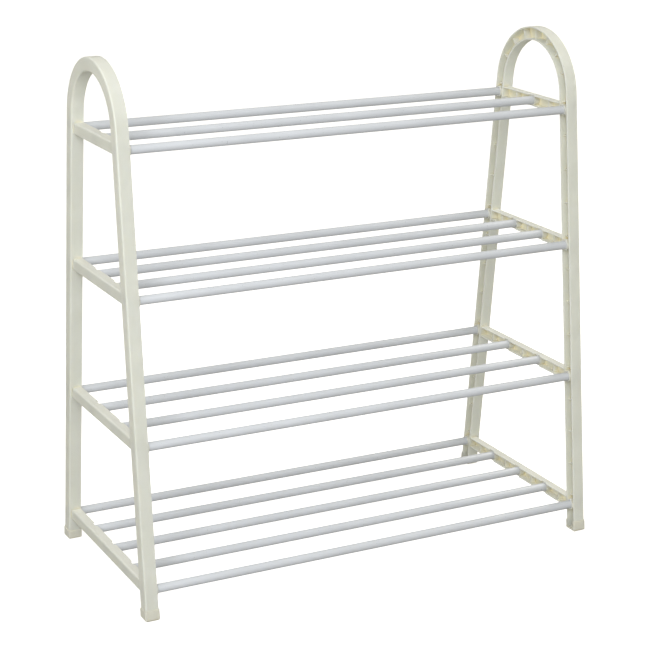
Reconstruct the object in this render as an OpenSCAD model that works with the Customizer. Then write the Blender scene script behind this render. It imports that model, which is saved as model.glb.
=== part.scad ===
// Tiered shoe rack: two moulded plastic end frames, four tiers of steel tubes and four foot caps.
// Millimetres. +X runs along the tubes, -Y is the front, +Z is up.
// The origin is on the floor, at the middle of the rack.

/* [Overall size] */
// Length over the outer faces of the two end frames
rack_length = 690; // [420:5:900]
// Height from the floor to the top of the arches
rack_height = 720; // [560:5:900]
// Depth over the outer edges of the legs, at the floor
leg_spread = 320; // [264:2:400]
// Radius of the outer edge of the arch
arch_r = 92; // [70:1:112]

/* [Tiers] */
// Height of the bottom tier's tube axes above the floor
first_tier_z = 39.5; // [34:0.5:70]
// Drop from the top of the arch to the top tier's tube axes
top_tier_drop = 106; // [84:1:140]
// Tubes in the bottom tier
tubes_bottom = 5; // [3:1:7]
// Tubes in the second tier
tubes_second = 4; // [3:1:7]
// Tubes in the third tier
tubes_third = 4; // [3:1:6]
// Tubes in the top tier
tubes_top = 3; // [3:1:5]

/* [End frame moulding] */
// Thickness of an end frame, along the tubes
frame_t = 18; // [16:0.5:26]
// Width of a leg and of the arch, seen from the side
leg_w = 19; // [17:0.5:24]
// Wall of the leg's channel
leg_wall = 2.2; // [1.6:0.1:3]
// Outer web of the end frame
web = 2.5; // [1.8:0.1:3.5]
// Radius of the outer edges of the moulding
edge_r = 2.2; // [1:0.1:2.8]
// Radius of the edges of the moulding's rim
rim_r = 0.6; // [0.3:0.1:0.7]
// Thickness of the stiffening ribs
rib_t = 1.4; // [1:0.1:2]
// Depth of the ribs' edges below the channel's rim
rib_drop = 5; // [2:0.5:8]
// Spacing of the ribs along a leg
rib_pitch = 48; // [30:1:90]
// Ribs round the arch
arch_ribs = 7; // [3:1:11]

/* [Crossbars] */
// Height of a crossbar
bar_h = 16.5; // [14:0.5:20]
// Set-back of a crossbar from the frame's outer face
bar_setback = 4; // [3:0.5:8]
// Set-back of a crossbar from the frame's inner face
bar_inset = 0.8; // [0.8:0.1:2]
// Wall of a crossbar's channel
bar_wall = 1.8; // [1.4:0.1:2.4]
// Radius of a crossbar's outer edges
bar_edge_r = 2.6; // [0.6:0.1:2.6]

/* [Tubes and sockets] */
// Outer diameter of a tube
tube_d = 12; // [10:0.2:14.4]
// Wall of a tube
tube_wall = 0.8; // [0.6:0.1:1.5]
// Radial clearance between a tube and its socket
socket_clearance = 0.1; // [0.05:0.05:0.3]
// Gap left between a tube's end and the bottom of its socket
end_gap = 0.3; // [0.1:0.1:1]
// Wall of a socket boss
boss_wall = 1.8; // [1.4:0.1:2.4]
// Length of a leg's boss proud of the frame's inner face
boss_proud = 2; // [0.5:0.5:4]
// Depth of the slot where a tube enters a crossbar, from the crossbar's inner face
slot_depth = 2.5; // [1.5:0.5:4]
// Width of the shoulder that stops a tube in a leg
stop_step = 2; // [1:0.5:3]
// Lead-in chamfer at a socket's mouth
lead_in = 0.5; // [0.3:0.1:0.8]

/* [Foot caps] */
// Height of a foot cap, along the leg
foot_h = 15; // [13:1:24]
// Wall of a foot cap
foot_wall = 1.2; // [1:0.1:2]
// Floor of a foot cap, under the leg
foot_floor = 3; // [2:0.5:5]
// Clearance between a foot cap and the leg inside it
foot_clearance = 0.1; // [0.05:0.05:0.3]
// Radius round a foot cap's bottom edge
foot_r = 4.5; // [1:0.5:4.5]

/* [Hidden] */
$fn = 96;
cut = 1;                                   // how far a cutting solid overshoots
half_l = rack_length / 2;
half_d = leg_spread / 2;
arch_z = rack_height - arch_r;             // height of the arch's centre
// The legs are tangent to the arch, and this is their lean from the vertical
lean = acos(arch_r / norm([half_d, arch_z])) - atan2(arch_z, half_d);
axis_r = arch_r - leg_w / 2;               // radius of the arch's and the legs' centreline
inner_r = arch_r - leg_w;                  // radius of the arch's inner edge
bore_d = tube_d + 2 * socket_clearance;
channel_w = leg_w - 2 * leg_wall;          // the leg channel's opening
bar_boss_d = bore_d + 2 * boss_wall;       // a boss on a crossbar
leg_boss_d = max(bar_boss_d, channel_w + leg_wall / 2);   // reaches into both walls of a leg
stop_d = tube_d - 2 * stop_step;           // the hole behind a leg's socket
socket_x = bar_setback + web;              // bottom of the sockets, from the frame's outer face
boss_root = 0.5;                           // how far a crossbar's boss starts inside the web
leg_mouth = frame_t + boss_proud;          // mouths of the sockets, from the frame's outer face
bar_mouth = frame_t - bar_inset - slot_depth;
lead_d = bore_d + 4 * lead_in;             // the lead-in's cutting cone, at its widest
slot_w = lead_d + 0.25;                    // the entry slot, a little wider than the lead-in
tube_l = rack_length - 2 * (socket_x + end_gap);
foot_grow = foot_clearance + foot_wall;    // a foot cap's outside, beyond the leg
tube_counts = [tubes_bottom, tubes_second, tubes_third, tubes_top];
tiers = len(tube_counts);
tier_names = ["bottom", "second", "third", "top"];
tier_pitch = (rack_height - top_tier_drop - first_tier_z) / (tiers - 1);
foot_d = (arch_z + axis_r * sin(lean)) / cos(lean);    // down a leg, from the arch to the floor
first_rib = rib_pitch / 4;                 // down a leg, from the arch to the first rib
ivory = "#efeee2";
cap_ivory = "#efeddd";
coated_steel = "#d3d7da";

function tier_z(t) = first_tier_z + t * tier_pitch;
// Depth from the middle to the line at radius r from the arch's centre, at height z
function side_y(r, z) = (r - (z - arch_z) * sin(lean)) / cos(lean);
// Place of tube i, counted from the front, in tier t
function tube_y(t, i) = side_y(axis_r, tier_z(t)) * (2 * i / (tube_counts[t] - 1) - 1);
function tube_name(t, i) = str("tube_", tier_names[t], "_", i + 1);
tube_names = [for (t = [0:tiers - 1]) for (i = [0:tube_counts[t] - 1]) tube_name(t, i)];

// A rectangle whose corners have radius r0 along y = 0 and r1 along y = height
module soft_rect(width, height, r0, r1) {
    translate([r0, 0]) square([width - 2 * r0, height / 2]);
    translate([0, r0]) square([width, height - r0 - r1]);
    translate([r1, height / 2]) square([width - 2 * r1, height / 2]);
    for (x = [r0, width - r0]) translate([x, r0]) circle(r0);
    for (x = [r1, width - r1]) translate([x, height - r1]) circle(r1);
}

// Section of a crossbar: x from its outer face, y from its underside
module soft_bar(depth) {
    rotate([0, 0, 90]) mirror([0, 1, 0]) soft_rect(bar_h, depth, bar_edge_r, rim_r);
}

// Section of the leg and the arch: x from the inner edge, y from the outer face
module leg_section() {
    difference() {
        soft_rect(leg_w, frame_t, edge_r, rim_r);
        translate([leg_wall, web]) square([channel_w, frame_t]);
    }
}

// Turns (radius, tangent, thickness) at an angle round the arch to the left frame's place.
// The angle 90 + lean is where the arch runs into the back leg.
module round_arch(angle) {
    translate([-half_l, 0, arch_z]) rotate([0, 90, 0]) rotate([0, 0, angle]) children();
}

// The left frame's back leg first, then its mirror image at the front
module both_legs() {
    for (side = [0, 1]) mirror([0, side, 0]) round_arch(90 + lean) children();
}

module arch_and_legs() {
    round_arch(90 + lean)
        rotate_extrude(angle = 180 - 2 * lean) translate([inner_r, 0]) leg_section();
    difference() {
        both_legs() translate([inner_r, 0, 0])
            rotate([90, 0, 0]) linear_extrude(foot_d + leg_w) leg_section();
        translate([-half_l - cut, -leg_spread, foot_floor - 3 * leg_w])
            cube([frame_t + 2 * cut, 2 * leg_spread, 3 * leg_w]);
    }
}

// One rib across the channel, centred on its place
module rib() {
    translate([inner_r + leg_wall / 2, -rib_t / 2, web / 2])
        cube([leg_w - leg_wall, rib_t, frame_t - web / 2 - rib_drop]);
}

module ribs() {
    arch_step = (180 - 2 * lean) / (arch_ribs + 1);
    for (i = [1:arch_ribs]) round_arch(90 + lean + i * arch_step) rib();
    for (d = [first_rib:rib_pitch:foot_d - foot_h]) both_legs() translate([0, -d, 0]) rib();
}

// A slab between the legs, from z0 to z1, that reaches `into` past their inner faces
module between_legs(z0, z1, into, x0, x1) {
    y0 = side_y(inner_r + into, z0);
    y1 = side_y(inner_r + into, z1);
    translate([x0 - half_l, 0, 0]) rotate([90, 0, 90]) linear_extrude(x1 - x0)
        polygon([[-y0, z0], [y0, z0], [y1, z1], [-y1, z1]]);
}

module crossbar(t) {
    top = tier_z(t) + bar_h / 2;
    low = tier_z(t) - bar_h / 2;
    depth = frame_t - bar_setback - bar_inset;
    difference() {
        intersection() {
            between_legs(low - cut, top + cut, leg_wall / 2, bar_setback - cut, frame_t + cut);
            translate([bar_setback - half_l, half_d, low])
                rotate([90, 0, 0]) linear_extrude(leg_spread)
                    soft_bar(depth);
        }
        between_legs(low + bar_wall, top - bar_wall, 0, bar_setback + web, frame_t + cut);
    }
    gaps = tube_counts[t] - 1;
    for (i = [0:gaps - 1])
        translate([bar_setback - half_l + web / 2, (tube_y(t, i) + tube_y(t, i + 1)) / 2 - rib_t / 2,
                   low + bar_wall / 2])
            cube([depth - web / 2 - rib_drop / 2, rib_t, bar_h - bar_wall]);
}

// Puts children at every socket of the left frame, with +Z along the tube
module at_sockets(t, first, last) {
    for (i = [first:last])
        translate([-half_l, tube_y(t, i), tier_z(t)]) rotate([0, 90, 0]) children();
}

module bosses(t) {
    end = tube_counts[t] - 1;
    for (i = [0, end]) at_sockets(t, i, i)
        translate([0, 0, web / 2]) cylinder(d = leg_boss_d, h = leg_mouth - web / 2);
    bar_end = frame_t - bar_inset - 2 * rim_r;
    at_sockets(t, 1, end - 1)
        translate([0, 0, socket_x - boss_root])
            cylinder(d = bar_boss_d, h = bar_end - socket_x + boss_root);
}

// A tube's socket, with a lead-in at its mouth
module socket(mouth) {
    translate([0, 0, socket_x]) cylinder(d = bore_d, h = mouth - socket_x + cut);
    translate([0, 0, mouth - lead_in]) cylinder(d1 = bore_d, d2 = lead_d, h = 2 * lead_in);
}

module socket_cuts(t) {
    end = tube_counts[t] - 1;
    for (i = [0, end]) at_sockets(t, i, i) {
        socket(leg_mouth);
        translate([0, 0, web]) cylinder(d = stop_d, h = socket_x - web + cut);
    }
    at_sockets(t, 1, end - 1) {
        socket(bar_mouth);
        // The entry slot goes through the crossbar's top and underside
        translate([-bar_h, -slot_w / 2, bar_mouth]) cube([2 * bar_h, slot_w, frame_t]);
    }
}

// One moulding: arch, legs, ribs, crossbars and sockets
module end_frame() {
    color(ivory) difference() {
        union() {
            arch_and_legs();
            ribs();
            for (t = [0:tiers - 1]) {
                crossbar(t);
                bosses(t);
            }
        }
        for (t = [0:tiers - 1]) socket_cuts(t);
    }
}

// What a rounded bottom corner of a foot cap takes off: `side` is 1 outside, -1 inside
module foot_corner(side) {
    edge = side > 0 ? arch_r + foot_grow : inner_r - foot_grow;
    centre = [side_y(edge - side * foot_r, foot_r), foot_r];
    past = centre + side * (foot_r + cut) * [cos(lean), sin(lean)];
    difference() {
        polygon([centre, past, [past[0] + side * cut, -cut], [centre[0], -cut]]);
        translate(centre) circle(foot_r);
    }
}

// Outline of a back foot cap in the YZ plane: its sides follow the leg, its bottom corners are round
module foot_side_outline() {
    up = 2 * foot_h;
    difference() {
        polygon([for (c = [[inner_r - foot_grow, 0], [inner_r - foot_grow, up],
                           [arch_r + foot_grow, up], [arch_r + foot_grow, 0]])
                 [side_y(c[0], c[1]), c[1]]]);
        for (side = [-1, 1]) foot_corner(side);
    }
}

// The left frame's back foot cap
module foot_cap() {
    outside_t = frame_t + 2 * foot_grow;
    outside_w = leg_w + 2 * foot_grow;
    inside_t = frame_t + 2 * foot_clearance;
    inside_w = leg_w + 2 * foot_clearance;
    color(cap_ivory) difference() {
        intersection() {
            round_arch(90 + lean)
                translate([inner_r - foot_grow, -foot_d - foot_h, -foot_grow])
                    translate([0, 2 * foot_h, 0]) rotate([90, 0, 0]) linear_extrude(2 * foot_h)
                        soft_rect(outside_w, outside_t, edge_r + foot_grow, edge_r);
            translate([-half_l - foot_grow - cut, 0, 0]) rotate([90, 0, 90])
                linear_extrude(outside_t + 2 * cut) foot_side_outline();
            translate([-half_l - foot_grow, half_d + leg_w, 0])
                rotate([90, 0, 0]) linear_extrude(3 * leg_w)
                    soft_rect(outside_t, 3 * foot_h, foot_r, foot_r);
        }
        difference() {
            round_arch(90 + lean) {
                translate([inner_r - foot_clearance, -foot_d - foot_h, -foot_clearance])
                    cube([inside_w, 3 * foot_h, inside_t]);
                translate([inner_r + leg_wall, -foot_d - foot_h, 0])
                    cube([channel_w, 3 * foot_h, outside_t]);
            }
            translate([-half_l - leg_w, half_d - 2 * leg_w, foot_floor - 2 * leg_w])
                cube([3 * leg_w, 4 * leg_w, 2 * leg_w]);
        }
    }
}

module tube(t, i) {
    color(coated_steel) translate([-tube_l / 2, tube_y(t, i), tier_z(t)]) rotate([0, 90, 0])
        difference() {
            cylinder(d = tube_d, h = tube_l);
            translate([0, 0, -cut]) cylinder(d = tube_d - 2 * tube_wall, h = tube_l + 2 * cut);
        }
}

end_frame();  // end_frame_left
mirror([1, 0, 0]) end_frame();  // end_frame_right
foot_cap();  // foot_back_left
mirror([0, 1, 0]) foot_cap();  // foot_front_left
mirror([1, 0, 0]) foot_cap();  // foot_back_right
mirror([1, 0, 0]) mirror([0, 1, 0]) foot_cap();  // foot_front_right
for (t = [0:tiers - 1]) for (i = [0:tube_counts[t] - 1])
    tube(t, i);
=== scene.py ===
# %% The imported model
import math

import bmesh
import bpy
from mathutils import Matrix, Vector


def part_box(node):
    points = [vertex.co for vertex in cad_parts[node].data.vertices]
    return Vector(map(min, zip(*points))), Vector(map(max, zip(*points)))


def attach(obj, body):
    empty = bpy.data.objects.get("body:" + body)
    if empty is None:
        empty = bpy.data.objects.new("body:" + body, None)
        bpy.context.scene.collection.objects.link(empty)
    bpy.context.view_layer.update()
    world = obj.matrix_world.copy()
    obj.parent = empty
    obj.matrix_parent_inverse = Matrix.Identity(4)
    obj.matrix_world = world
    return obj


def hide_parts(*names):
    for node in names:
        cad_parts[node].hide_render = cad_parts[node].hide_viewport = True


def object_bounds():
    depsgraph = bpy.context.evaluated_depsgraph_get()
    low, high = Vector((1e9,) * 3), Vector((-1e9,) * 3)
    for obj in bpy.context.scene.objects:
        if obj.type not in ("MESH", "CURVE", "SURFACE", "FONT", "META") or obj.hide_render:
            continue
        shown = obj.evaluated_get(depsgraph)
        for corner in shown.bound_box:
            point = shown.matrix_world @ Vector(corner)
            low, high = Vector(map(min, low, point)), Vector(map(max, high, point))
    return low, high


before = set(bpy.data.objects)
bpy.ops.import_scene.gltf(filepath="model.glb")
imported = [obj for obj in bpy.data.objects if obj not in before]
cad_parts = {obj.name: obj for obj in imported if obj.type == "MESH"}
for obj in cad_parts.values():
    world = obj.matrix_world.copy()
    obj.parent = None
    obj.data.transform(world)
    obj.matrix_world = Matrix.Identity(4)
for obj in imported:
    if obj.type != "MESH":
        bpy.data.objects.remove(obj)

# %% [markdown]
# # A tiered shoe rack
#
# The rack is two moulded plastic end frames, sixteen coated steel tubes pushed into them, and
# four foot caps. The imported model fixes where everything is. This lesson dresses it: each step
# says what the real piece is made of, how it could be made in Blender, and why this way was
# chosen.

MM = 0.001
BODY = "root"
cad_low, cad_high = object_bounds()
print("the packed rack measures", [round(v / MM) for v in cad_high - cad_low], "mm")

# %% [markdown]
# ## The camera
#
# The camera comes first, because everything else is judged through it. It is a long lens, which
# keeps the tubes nearly parallel, standing in front of the rack's left-hand end and looking
# slightly down. It could be dragged about by hand until the view is right. Here it gets the spot
# that it stands on, a heading, a pitch and a very slight roll, so that each number says
# something a camera operator would say.

# %% Camera
HEADING = math.radians(27.13)
PITCH = math.radians(16.35)
ROLL = math.radians(0.40)
EYE = Vector((-1143.0, -2222.5, 1087.5)) * MM
SENSOR_MM = 36
LENS_MM = 102.4
LENS_SHIFT = -0.0385       # slides the rack up a little in the frame, as a share of its width
FARTHEST_SEEN = 50         # metres, well past the far edge of the floor

camera = bpy.data.objects.new("camera", bpy.data.cameras.new("camera"))
bpy.context.scene.collection.objects.link(camera)
camera.location = EYE
level = Matrix.Rotation(-HEADING, 4, "Z") @ Matrix.Rotation(math.pi / 2 - PITCH, 4, "X")
camera.rotation_euler = (level @ Matrix.Rotation(ROLL, 4, "Z")).to_euler()
camera.data.sensor_width = SENSOR_MM
camera.data.lens = LENS_MM
camera.data.shift_y = LENS_SHIFT
camera.data.clip_end = FARTHEST_SEEN
bpy.context.scene.camera = camera
print("the camera stands", round((EYE - (cad_low + cad_high) / 2).length, 2), "m from the rack")

# %% [markdown]
# ## The sky
#
# Moulded plastic needs soft light: its edges then show as gentle gradients and not as hard
# glints. The softest light of all is a sky, and a real studio makes one from a white ceiling and
# grey walls. So the sky here is brighter overhead than at its sides, which lifts the rack's upper
# faces and lets its upright ones fall off. A world shader does that with two numbers and no
# lamps. The standard view transform keeps the hex colours below as they are.

# %% Sky
def linear(hex_colour):
    """An sRGB hex colour as the linear RGBA that the shaders work in."""
    srgb = [int(hex_colour[i:i + 2], 16) / 255 for i in (1, 3, 5)]
    return [c / 12.92 if c <= 0.04045 else ((c + 0.055) / 1.055) ** 2.4 for c in srgb] + [1]


def add_node(tree, kind, settings=None, **inputs):
    """Adds a node with its settings. An input is a value, or a socket that it links to.

    An input is named with _ for each space, and _0, _1 and so on name an input by its place.
    """
    node = tree.nodes.new(kind)
    for name, value in (settings or {}).items():
        setattr(node, name, value)
    for name, value in inputs.items():
        by_place = name[0] == "_"
        socket = node.inputs[int(name[1:]) if by_place else name.replace("_", " ")]
        if isinstance(value, bpy.types.NodeSocket):
            tree.links.new(value, socket)
        else:
            socket.default_value = value
    return node


SKY_COLOUR = "#fffcf3"
SKY_SIDES, SKY_TOP = 0.40, 0.72

bpy.context.scene.view_settings.view_transform = "Standard"
sky = bpy.data.worlds.new("soft_sky")
sky.use_nodes = True
backdrop = sky.node_tree.nodes["Background"]
backdrop.inputs["Color"].default_value = linear(SKY_COLOUR)
towards = add_node(sky.node_tree, "ShaderNodeTexCoord").outputs["Generated"]
height = add_node(sky.node_tree, "ShaderNodeSeparateXYZ", Vector=towards).outputs["Z"]
dome = add_node(sky.node_tree, "ShaderNodeMapRange", Value=height, From_Min=0.0, From_Max=1.0,
                To_Min=SKY_SIDES, To_Max=SKY_TOP)
sky.node_tree.links.new(dome.outputs["Result"], backdrop.inputs["Strength"])
bpy.context.scene.world = sky
print("the sky goes from", SKY_SIDES, "at the horizon to", SKY_TOP, "overhead")

# %% [markdown]
# ## The softboxes
#
# Three broad softboxes shape the rack. The front one does most of the work. It stands well to
# the left, so the far end frame falls off gently, and it is a touch cooler than the sky, which
# keeps the ivory from turning yellow. The low-power one on the left lifts the arches, and the
# one on the right shines into and through the thin walls of the right-hand frame.

# %% Softboxes
def softbox(name, place, aim, width, height, watts, colour):
    """A rectangular soft lamp at `place`, turned to `aim`. Places and sizes are in metres."""
    lamp = bpy.data.objects.new(name, bpy.data.lights.new(name, "AREA"))
    bpy.context.scene.collection.objects.link(lamp)
    lamp.location = place
    lamp.rotation_euler = (Vector(aim) - Vector(place)).to_track_quat("-Z", "Y").to_euler()
    lamp.data.shape = "RECTANGLE"
    lamp.data.size, lamp.data.size_y = width, height
    lamp.data.energy = watts
    lamp.data.color = linear(colour)[:3]
    return lamp


middle = (cad_low + cad_high) / 2
lamps = [
    softbox("front_softbox", (-1.4, -2.1, 1.6), middle, 1.6, 1.4, 45, "#fafcff"),
    softbox("left_softbox", (-1.5, -0.4, 1.5), (0, 0, cad_high.z), 0.8, 0.5, 2, "#ffffff"),
    softbox("right_softbox", (1.7, 0.2, 1.2), middle, 0.9, 0.9, 11, "#fffaf0"),
]
for lamp in lamps:
    print(lamp.name, "gives", lamp.data.energy, "watts")

# %% [markdown]
# ## The paper floor
#
# The rack stands on a wide sheet of white paper that is lit from beneath as well, as on a
# product table, so that it stays clean white under the rack. A big flat square with a little
# emission does that. Real paper would also throw its light up into the rack and wash out the
# undersides of the tubes, so here it is hidden from the rack's own shading.

# %% Paper floor
FLOOR_HALF = 12.0
FLOOR_GLOW = 0.60
PAPER_COLOUR = "#f9f9f8"
PAPER_ROUGHNESS = 0.9

floor_corners = [(-FLOOR_HALF, -FLOOR_HALF, 0), (FLOOR_HALF, -FLOOR_HALF, 0),
                 (FLOOR_HALF, FLOOR_HALF, 0), (-FLOOR_HALF, FLOOR_HALF, 0)]
floor_mesh = bpy.data.meshes.new("studio_floor")
floor_mesh.from_pydata(floor_corners, [], [(0, 1, 2, 3)])
floor = bpy.data.objects.new("studio_floor", floor_mesh)
bpy.context.scene.collection.objects.link(floor)
paper = bpy.data.materials.new("white_paper")
paper.use_nodes = True
paper_shader = paper.node_tree.nodes["Principled BSDF"]
paper_shader.inputs["Base Color"].default_value = linear(PAPER_COLOUR)
paper_shader.inputs["Roughness"].default_value = PAPER_ROUGHNESS
paper_shader.inputs["Emission Color"].default_value = linear("#ffffff")
paper_shader.inputs["Emission Strength"].default_value = FLOOR_GLOW
floor_mesh.materials.append(paper)
floor.visible_diffuse = False
floor.visible_glossy = False
print("a paper floor", 2 * FLOOR_HALF, "m across")

# %% [markdown]
# ## Ivory polypropylene, injection moulded
#
# The end frames are polypropylene with a little ivory pigment. Three things give it away. Light
# goes a few millimetres into it, so the thin walls round the channel glow warm and pale where a
# solid white paint would go grey. Its skin copies a steel mould that was spark-eroded to a fine
# satin, about a third of a millimetre from peak to peak. And the melt leaves faint cloudy
# streaks about 30 mm long. Here each is one small layer: real subsurface scattering, a fine bump,
# and a very slow noise in colour and gloss. On top of the scattering, a warm, pale glow is painted
# into the colour where the walls close in. Where edges have been knocked and rubbed, the skin is
# polished, and the sharpest edges are painted a shade lighter, partly as that wear and partly as
# a painted highlight; both come from how sharply the surface turns. All of it could be painted by
# hand, but a recipe made from the shape itself fits the frames and the caps alike, and it holds up
# from every side.

# %% Ivory polypropylene
PP_IOR = 1.49
SATIN_GRAIN_MM = 0.9       # drawn three times coarser than it is, so that it still shows
STREAK_MM = 32.0
FRAME_GLOW_MM = 5.0        # how far light travels inside the plastic
GLOW_BY_COLOUR = (1.0, 0.97, 0.88)    # red travels a little further than blue
CHANNEL_MM = 14.0          # the channel's width, over which the painted glow spreads into closed-in spots
CLOSED_IN, OPEN_AIR = 0.15, 0.75      # how open a spot is, from a deep corner to a plain face
TURN_PLAIN, TURN_SHARP = 0.52, 0.60   # how sharply the surface turns, from flat to an edge
MOST_WEAR_AND_HIGHLIGHT = 0.55         # the share of the lighter edge colour, rubbed wear and painted highlight, on the sharpest edge
RUBBED_POLISH = 0.16       # how much smoother rubbed skin is
SATIN_DEPTH_MM, STREAK_DEPTH_MM = 0.05, 0.6
STREAK_DARK, STREAK_PALE = 0.965, 1.02
NOISE_LOW, NOISE_HIGH = 0.3, 0.7      # nearly all of a noise lies between these


def moulded_plastic(name, outside, painted_glow_colour, rubbed_and_highlight_colour, roughness, grain_mm, streak_mm, glow_mm):
    """Satin plastic: three hex colours, its gloss, and the sizes of its grain, streaks and glow.

    The colours are its own, a painted warm glow for closed-in spots, and an edge colour that is
    partly rubbed wear and partly a painted highlight.
    """
    material = bpy.data.materials.new(name)
    material.use_nodes = True
    tree = material.node_tree
    shader = tree.nodes["Principled BSDF"]
    place = add_node(tree, "ShaderNodeTexCoord").outputs["Object"]
    streak = add_node(tree, "ShaderNodeTexNoise", Vector=place, Scale=1 / (streak_mm * MM),
                      Detail=3.0, Roughness=0.55).outputs["Fac"]
    fine = add_node(tree, "ShaderNodeTexNoise", Vector=place, Scale=1 / (grain_mm * MM),
                    Detail=2.0, Roughness=0.6).outputs["Fac"]
    # Painted glow: spots closed in by the channel walls get a paler, warmer colour, which stands in
    # for light passing through and between the thin walls.
    open_air = add_node(tree, "ShaderNodeAmbientOcclusion", {"samples": 8},
                        Distance=CHANNEL_MM * MM).outputs["AO"]
    painted_glow_mask = add_node(tree, "ShaderNodeMapRange", Value=open_air, From_Min=CLOSED_IN,
                     From_Max=OPEN_AIR)
    walls_and_painted_glow = add_node(tree, "ShaderNodeMix", {"data_type": "RGBA"}, Factor=painted_glow_mask.outputs["Result"],
                     _6=linear(painted_glow_colour), _7=linear(outside))
    # Sharp edges get less roughness, which is rubbed wear, and a lighter colour, which is partly
    # that wear and partly a painted highlight.
    turn = add_node(tree, "ShaderNodeNewGeometry").outputs["Pointiness"]
    wear_and_painted_highlight = add_node(tree, "ShaderNodeMapRange", Value=turn, From_Min=TURN_PLAIN,
                    From_Max=TURN_SHARP, To_Min=0.0, To_Max=MOST_WEAR_AND_HIGHLIGHT)
    body = add_node(tree, "ShaderNodeMix", {"data_type": "RGBA"}, Factor=wear_and_painted_highlight.outputs["Result"],
                    _6=walls_and_painted_glow.outputs[2], _7=linear(rubbed_and_highlight_colour))
    cloud = add_node(tree, "ShaderNodeMapRange", Value=streak, From_Min=NOISE_LOW,
                     From_Max=NOISE_HIGH, To_Min=STREAK_DARK, To_Max=STREAK_PALE)
    tone = add_node(tree, "ShaderNodeHueSaturation", Value=cloud.outputs["Result"],
                    Color=body.outputs[2])
    gloss = add_node(tree, "ShaderNodeMapRange", Value=streak, From_Min=NOISE_LOW,
                     From_Max=NOISE_HIGH, To_Min=roughness - 0.05, To_Max=roughness + 0.06)
    polish = add_node(tree, "ShaderNodeMath", {"operation": "MULTIPLY_ADD"},
                      _0=wear_and_painted_highlight.outputs["Result"], _1=-RUBBED_POLISH, _2=gloss.outputs["Result"])
    satin = add_node(tree, "ShaderNodeBump", Height=fine, Strength=0.12,
                     Distance=SATIN_DEPTH_MM * MM)
    wave = add_node(tree, "ShaderNodeBump", Height=streak, Strength=0.25,
                    Distance=STREAK_DEPTH_MM * MM, Normal=satin.outputs["Normal"])
    tree.links.new(tone.outputs["Color"], shader.inputs["Base Color"])
    tree.links.new(polish.outputs["Value"], shader.inputs["Roughness"])
    tree.links.new(wave.outputs["Normal"], shader.inputs["Normal"])
    shader.inputs["IOR"].default_value = PP_IOR
    shader.inputs["Subsurface Weight"].default_value = 1.0
    shader.inputs["Subsurface Radius"].default_value = GLOW_BY_COLOUR
    shader.inputs["Subsurface Scale"].default_value = glow_mm * MM
    return material


# The second colour is the painted glow for closed-in spots. The third is the lighter edge colour,
# which is part wear and part painted highlight.
ivory_polypropylene = moulded_plastic("ivory_polypropylene", outside="#dfe1d8", painted_glow_colour="#f7eed2",
                                      rubbed_and_highlight_colour="#e8e9df", roughness=0.42, grain_mm=SATIN_GRAIN_MM,
                                      streak_mm=STREAK_MM, glow_mm=FRAME_GLOW_MM)
print("moulded polypropylene, with streaks of", STREAK_MM, "mm")

# %% [markdown]
# ## Soft polyethylene for the foot caps
#
# The caps have to grip a floor and stretch over a leg, so they are a softer plastic than the
# frames. A material of its own could be built for it, but the recipe is the same: a coarser,
# duller skin, shorter streaks because the mould is small, and a slightly warmer colour. There is
# more pigment in it, so light travels less far inside.

# %% Ivory polyethylene
CAP_GRAIN_MM = 1.2 * SATIN_GRAIN_MM
CAP_STREAK_MM = 0.6 * STREAK_MM
CAP_GLOW_MM = 1.5

# The caps get the same painted glow where their walls close in, and the same lighter edges, part
# wear and part painted highlight.
ivory_polyethylene = moulded_plastic("ivory_polyethylene", outside="#dddcd0", painted_glow_colour="#f0ead4",
                                     rubbed_and_highlight_colour="#e3e2d6", roughness=0.5, grain_mm=CAP_GRAIN_MM,
                                     streak_mm=CAP_STREAK_MM, glow_mm=CAP_GLOW_MM)
print("moulded polyethylene, with streaks of", CAP_STREAK_MM, "mm")

# %% [markdown]
# ## Powder-coated steel
#
# The tubes are thin-walled steel with a baked powder coat in a pale blue-grey. Powder flows into
# a skin with an orange-peel ripple about 2 mm across, which breaks up the long highlight. The
# coat hides the metal, so it isn't metallic: it is a semi-gloss plastic skin. Shoes and hands
# leave it a little duller here and there, which is the slow drift in its gloss, and a few fine
# dust specks get baked in. Three noises do this, and each has a real size in millimetres.

# %% Powder coat
COAT_IOR = 1.52
PEEL_MM = 2.2
PEEL_DEPTH_MM = 0.08
DRIFT_MM = 70.0
DRIFT_DARK, DRIFT_PALE = 0.96, 1.02
SPECK_MM = 1.6             # baked-in dust is finer than this, and is drawn so that it shows
SPECK_RARE, SPECK_FULL = 0.80, 0.86   # only the noise's few highest spots become specks


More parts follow.
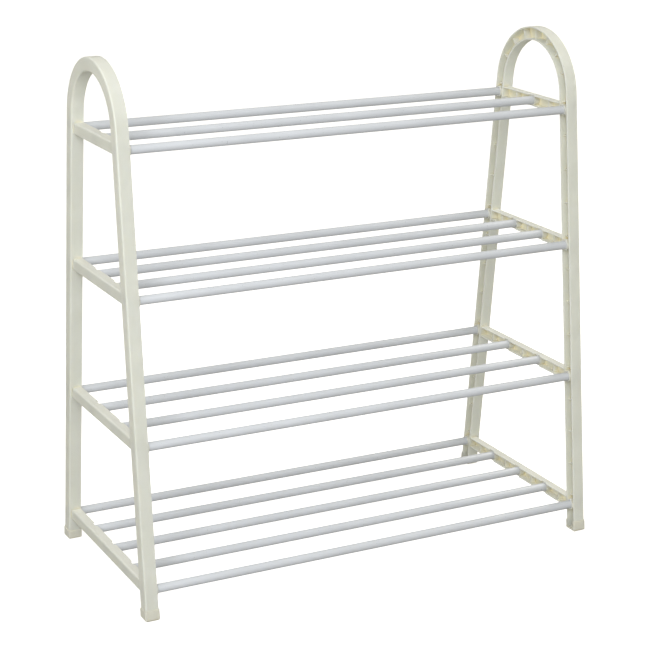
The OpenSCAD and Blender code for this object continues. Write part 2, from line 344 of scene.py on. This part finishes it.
def powder_coat(name, colour, speck_colour, roughness):
    """A baked semi-gloss coat: two hex colours, and its gloss."""
    material = bpy.data.materials.new(name)
    material.use_nodes = True
    tree = material.node_tree
    shader = tree.nodes["Principled BSDF"]
    place = add_node(tree, "ShaderNodeTexCoord").outputs["Object"]
    peel = add_node(tree, "ShaderNodeTexNoise", Vector=place, Scale=1 / (PEEL_MM * MM),
                    Detail=1.0, Roughness=0.4).outputs["Fac"]
    drift = add_node(tree, "ShaderNodeTexNoise", Vector=place, Scale=1 / (DRIFT_MM * MM),
                     Detail=2.0).outputs["Fac"]
    dust = add_node(tree, "ShaderNodeTexNoise", Vector=place, Scale=1 / (SPECK_MM * MM),
                    Detail=0.0).outputs["Fac"]
    speck = add_node(tree, "ShaderNodeMapRange", Value=dust, From_Min=SPECK_RARE,
                     From_Max=SPECK_FULL)
    cloud = add_node(tree, "ShaderNodeMapRange", Value=drift, From_Min=NOISE_LOW,
                     From_Max=NOISE_HIGH, To_Min=DRIFT_DARK, To_Max=DRIFT_PALE)
    tone = add_node(tree, "ShaderNodeHueSaturation", Value=cloud.outputs["Result"],
                    Color=linear(colour))
    skin = add_node(tree, "ShaderNodeMix", {"data_type": "RGBA"}, Factor=speck.outputs["Result"],
                    _6=tone.outputs["Color"], _7=linear(speck_colour))
    gloss = add_node(tree, "ShaderNodeMapRange", Value=drift, From_Min=NOISE_LOW,
                     From_Max=NOISE_HIGH, To_Min=roughness - 0.05, To_Max=roughness + 0.07)
    ripple = add_node(tree, "ShaderNodeBump", Height=peel, Strength=0.3,
                      Distance=PEEL_DEPTH_MM * MM)
    tree.links.new(skin.outputs[2], shader.inputs["Base Color"])
    tree.links.new(gloss.outputs["Result"], shader.inputs["Roughness"])
    tree.links.new(ripple.outputs["Normal"], shader.inputs["Normal"])
    shader.inputs["IOR"].default_value = COAT_IOR
    return material


powder_coated_steel = powder_coat("powder_coated_steel", colour="#d4d8de",
                                  speck_colour="#b4b9bd", roughness=0.34)
print("powder coat, with orange peel of", PEEL_MM, "mm")

# %% [markdown]
# ## The tubes
#
# A tube is rolled from steel strip and welded along its length, cut, and deburred at both ends.
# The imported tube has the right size, but its edges are razor sharp. A cylinder with a bevel
# would round them, but it couldn't carry a weld seam. So each tube is turned here as a lathe
# would do it: a short outline of wall and rounded ends is spun round the tube's axis. The weld
# leaves a ridge a twentieth of a millimetre high that the powder coat softens but doesn't hide.
# It is real geometry, and each tube was pushed into its sockets with the seam at another angle.

# %% Tubes
TUBE_WALL = 0.8 * MM
DEBURR = 0.25 * MM
SEAM_HEIGHT = 0.05 * MM
SEAM_HALF_WIDTH = 0.9 * MM
AROUND = 72
CORNER_STEPS = 3
SEAM_TURN = 2.4            # radians from one tube's seam to the next, so that no two look alike

# Where each corner's quarter-round starts, in degrees, from the outside of the left end round to
# its inside. The first number is 1 outside and -1 in the bore, the second -1 left and 1 right.
CORNER_START = {(1, -1): 180, (1, 1): 90, (-1, 1): 0, (-1, -1): -90}


def tube_outline(radius, half_length):
    """(x, distance from the axis) round one wall of a tube, with a quarter-round at each corner."""
    outline = []
    for side, x_sign in CORNER_START:
        wall_r = radius if side > 0 else radius - TUBE_WALL
        centre_x, centre_r = x_sign * (half_length - DEBURR), wall_r - side * DEBURR
        start = CORNER_START[side, x_sign]
        for step in range(CORNER_STEPS + 1):
            angle = math.radians(start - 90 * step / CORNER_STEPS)
            outline.append((centre_x + DEBURR * math.cos(angle),
                            centre_r + DEBURR * math.sin(angle)))
    return outline


def turn_tube(name, centre, radius, half_length, seam_angle):
    """A tube along X, spun round from its outline, with its weld seam at `seam_angle`."""
    outline = tube_outline(radius, half_length)
    mesh = bmesh.new()
    rings = []
    for k in range(AROUND):
        angle = 2 * math.pi * k / AROUND
        apart = math.remainder(angle - seam_angle, 2 * math.pi) * radius
        ridge = SEAM_HEIGHT * math.exp(-(apart / SEAM_HALF_WIDTH) ** 2)
        ring = []
        for x, r in outline:
            grow = ridge if r > radius - TUBE_WALL / 2 else 0
            ring.append(mesh.verts.new(centre + Vector((x, (r + grow) * math.cos(angle),
                                                        (r + grow) * math.sin(angle)))))
        rings.append(ring)
    for k in range(AROUND):
        here, there = rings[k], rings[(k + 1) % AROUND]
        for i in range(len(outline)):
            j = (i + 1) % len(outline)
            mesh.faces.new((here[i], here[j], there[j], there[i])).smooth = True
    bmesh.ops.recalc_face_normals(mesh, faces=mesh.faces)
    data = bpy.data.meshes.new(name)
    mesh.to_mesh(data)
    mesh.free()
    data.materials.append(powder_coated_steel)
    piece = bpy.data.objects.new(name, data)
    bpy.context.scene.collection.objects.link(piece)
    return piece


tube_nodes = [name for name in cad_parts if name.startswith("tube_")]
for count, node in enumerate(sorted(tube_nodes)):
    low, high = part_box(node)
    tube = turn_tube("coated_" + node, (low + high) / 2, (high.z - low.z) / 2, (high.x - low.x) / 2,
                     count * SEAM_TURN)
    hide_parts(node)
    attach(tube, BODY)
print(len(tube_nodes), "tubes of", round((high.x - low.x) / MM, 1), "mm, with",
      len(tube.data.polygons), "faces each")

# %% [markdown]
# ## The end frames
#
# Each end frame is one moulding: a channel section bent into an arch with two splayed legs,
# crossbars with ribs, and a socket for every tube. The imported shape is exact, but melted
# plastic never fills a truly sharp corner, and the toolmaker breaks every edge of the mould. A
# frame could be modelled again from nothing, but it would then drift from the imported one. So
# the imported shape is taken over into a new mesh, its flat facets are joined back into whole
# faces, and every sharp edge gets a rounding of a third of a millimetre. Flat faces then take
# their shading from their own area, so they stay flat right up to the new roundings.

# %% End frames
FRAME_EDGE = 0.35 * MM
FLAT_ANGLE = math.radians(0.8)       # facets that turn less than this are one face
SHARP_ANGLE = math.radians(32)       # edges that turn more than this are softened
WELD = 0.002 * MM
EDGE_STEPS = 2                       # faces across one rounding
AREA_WEIGHT = 100                    # big faces have the whole say in the shading


def softened(node, name, edge, material):
    """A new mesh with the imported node's shape, whose sharp edges are rounded to `edge`."""
    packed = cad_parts[node].data
    mesh = bmesh.new()
    corners = [mesh.verts.new(v.co) for v in packed.vertices]
    mesh.verts.index_update()
    for face in packed.polygons:
        mesh.faces.new([corners[i] for i in face.vertices])
    bmesh.ops.remove_doubles(mesh, verts=mesh.verts, dist=WELD)
    bmesh.ops.dissolve_limit(mesh, angle_limit=FLAT_ANGLE, verts=mesh.verts, edges=mesh.edges)
    sharp = [e for e in mesh.edges if len(e.link_faces) == 2 and e.calc_face_angle() > SHARP_ANGLE]
    bmesh.ops.bevel(mesh, geom=sharp, offset=edge, offset_type="OFFSET", segments=EDGE_STEPS,
                    profile=0.5, affect="EDGES", clamp_overlap=True, loop_slide=True)
    bmesh.ops.triangulate(mesh, faces=[f for f in mesh.faces if len(f.verts) > 4])
    for face in mesh.faces:
        face.smooth = True
    data = bpy.data.meshes.new(name)
    mesh.to_mesh(data)
    mesh.free()
    data.materials.append(material)
    piece = bpy.data.objects.new(name, data)
    bpy.context.scene.collection.objects.link(piece)
    flatter = piece.modifiers.new("flat_faces_stay_flat", "WEIGHTED_NORMAL")
    flatter.weight = AREA_WEIGHT
    print(name, "has", len(sharp), "softened edges and", len(data.polygons), "faces")
    return piece


for side in ("left", "right"):
    node = "end_frame_" + side
    end_frame = softened(node, "moulded_" + node, FRAME_EDGE, ivory_polypropylene)
    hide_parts(node)
    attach(end_frame, BODY)

# %% [markdown]
# ## The foot caps
#
# A cap is a thick-walled boot that stretches over the end of a leg. Soft plastic takes the
# roundest corners of the whole rack, so its edges get half a millimetre of rounding, against a
# third on the frames. Only that number and the material differ, so the same function makes it.

# %% Foot caps
CAP_EDGE = 0.5 * MM
foot_nodes = sorted(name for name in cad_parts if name.startswith("foot_"))
for node in foot_nodes:
    cap = softened(node, "moulded_" + node, CAP_EDGE, ivory_polyethylene)
    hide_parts(node)
    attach(cap, BODY)

# %% [markdown]
# ## The finished rack
#
# The last line brings the scene up to date.

# %% The end
bpy.context.view_layer.update()
